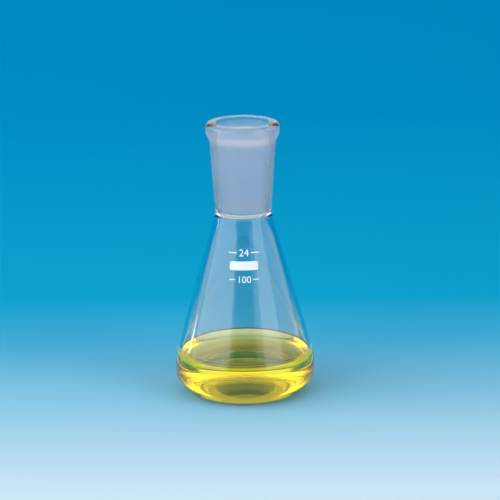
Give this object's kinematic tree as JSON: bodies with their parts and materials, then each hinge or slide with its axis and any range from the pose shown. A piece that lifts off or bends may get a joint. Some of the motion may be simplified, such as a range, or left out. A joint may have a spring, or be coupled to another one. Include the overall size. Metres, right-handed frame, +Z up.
{
  "type": "erlenmeyer flask with ground socket",
  "caption": "Small conical glass flask with a dished base, a thick ground-glass socket neck, a beaded rim and a little yellow solution inside.",
  "frame": {"origin": "where the flask's axis meets the surface that it stands on", "axes": "+Z up along the flask's axis, out of the mouth; X and Y are free, because the flask is round, and +Y is away from the side that carries the white marks"},
  "size_m": [0.064, 0.064, 0.1265],
  "materials": {
    "borosilicate_glass": "polished",
    "yellow_solution": "polished"
  },
  "bodies": {
    "root": {"flask": "borosilicate_glass", "liquid": "yellow_solution"}
  },
  "joints": []
}
